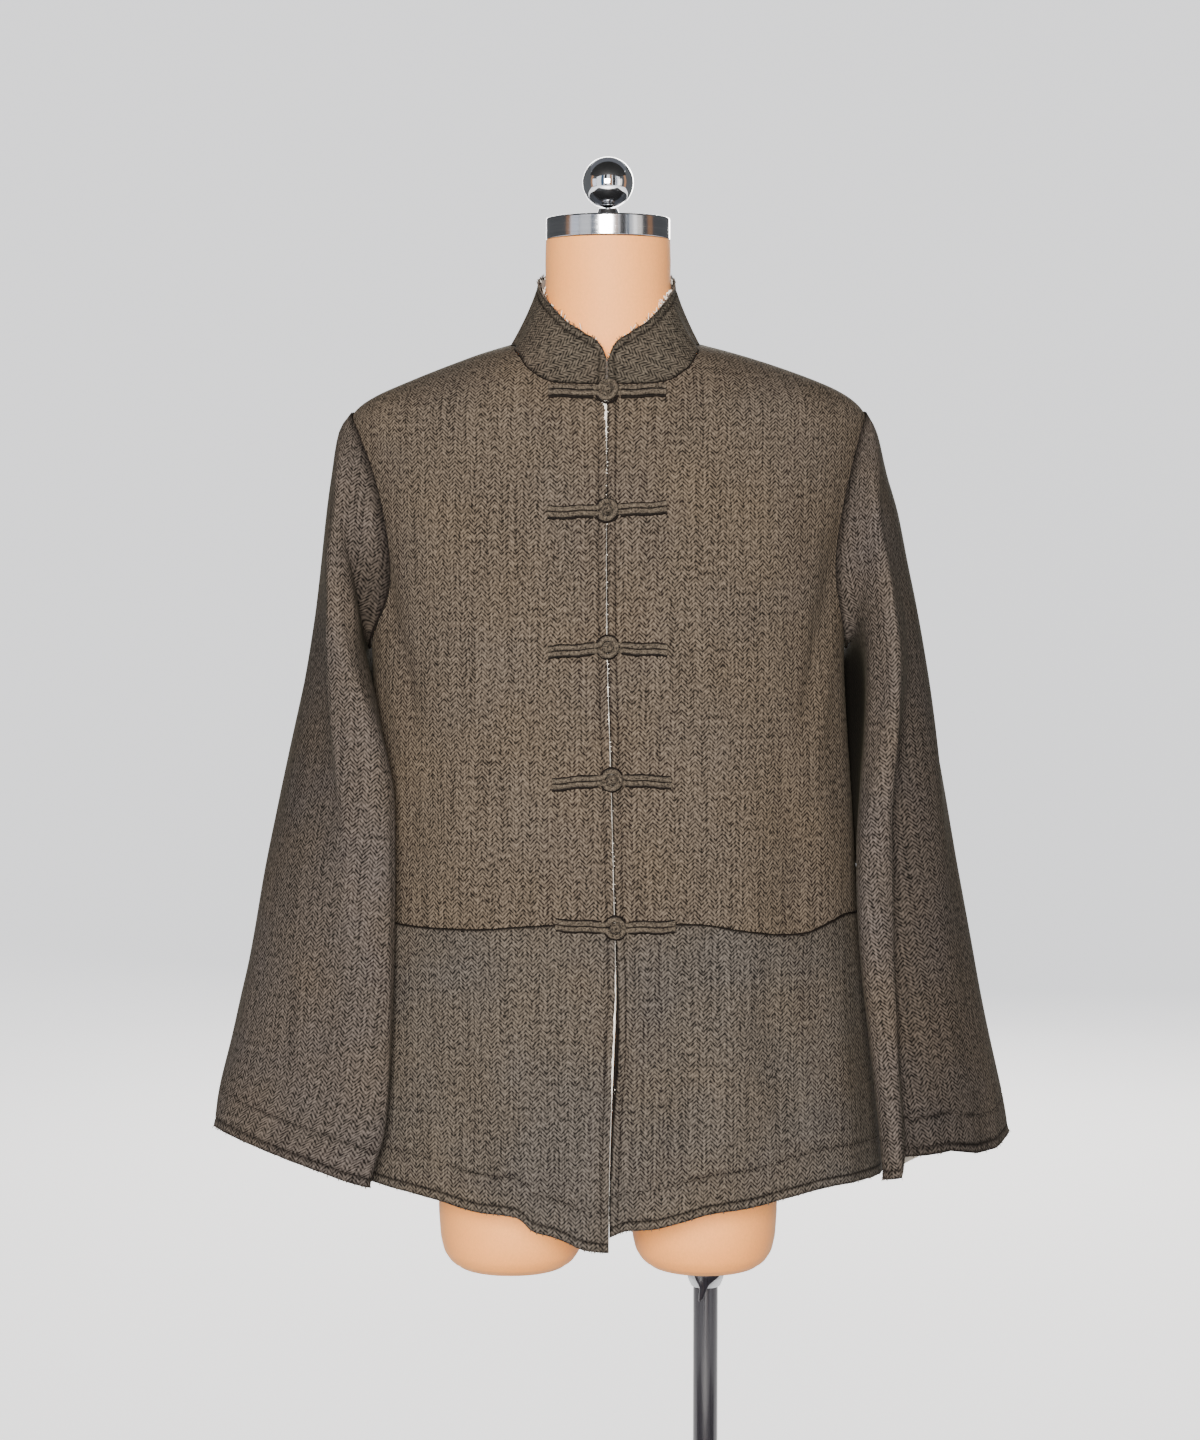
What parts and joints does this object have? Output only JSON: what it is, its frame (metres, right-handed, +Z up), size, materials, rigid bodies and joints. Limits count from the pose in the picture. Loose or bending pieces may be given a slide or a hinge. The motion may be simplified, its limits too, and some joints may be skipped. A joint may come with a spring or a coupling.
{
  "type": "tang jacket on a limbless dress form with its stand",
  "caption": "Unlined herringbone wool jacket with a stand collar, cord frog closures and patch pockets, worn by a limbless tailor's form on a round-base pole stand.",
  "frame": {"origin": "on the floor, under the middle of the whole part's box", "axes": "+Z up, the jacket's front faces -Y, +X is the wearer's left"},
  "size_m": [0.709, 0.4, 1.6094],
  "materials": {
    "wool_body": "brown-grey herringbone wool, matt",
    "wool_sleeve_left": "brown-grey herringbone wool, matt",
    "wool_sleeve_right": "brown-grey herringbone wool, matt",
    "wool_collar": "brown-grey herringbone wool, frayed at its cut edge",
    "wool_pocket_left": "brown-grey herringbone wool, matt",
    "wool_pocket_right": "brown-grey herringbone wool, matt",
    "wool_cord": "rolled cord of the same wool",
    "form_cloth": "smooth peach jersey over a hard form",
    "brushed_steel": "brushed round the neck",
    "chrome": "mirror plated",
    "black_steel": "semi-gloss black",
    "cast_alloy": "satin casting"
  },
  "bodies": {
    "root": {"front_left": "wool_body", "front_right": "wool_body", "back": "wool_body", "sleeve_left": "wool_sleeve_left", "sleeve_right": "wool_sleeve_right", "collar": "wool_collar", "pocket_left": "wool_pocket_left", "pocket_right": "wool_pocket_right", "frog_loop_1": "wool_cord", "frog_loop_2": "wool_cord", "frog_loop_3": "wool_cord", "frog_loop_4": "wool_cord", "frog_loop_5": "wool_cord", "frog_button_1": "wool_cord", "frog_button_2": "wool_cord", "frog_button_3": "wool_cord", "frog_button_4": "wool_cord", "frog_button_5": "wool_cord", "form_body": "form_cloth", "neck_cap": "brushed_steel", "finial_ring": "chrome", "finial_ball": "chrome", "pole_socket": "cast_alloy", "pole": "black_steel", "pole_foot": "black_steel", "pole_lever": "black_steel", "base": "black_steel"}
  },
  "joints": []
}
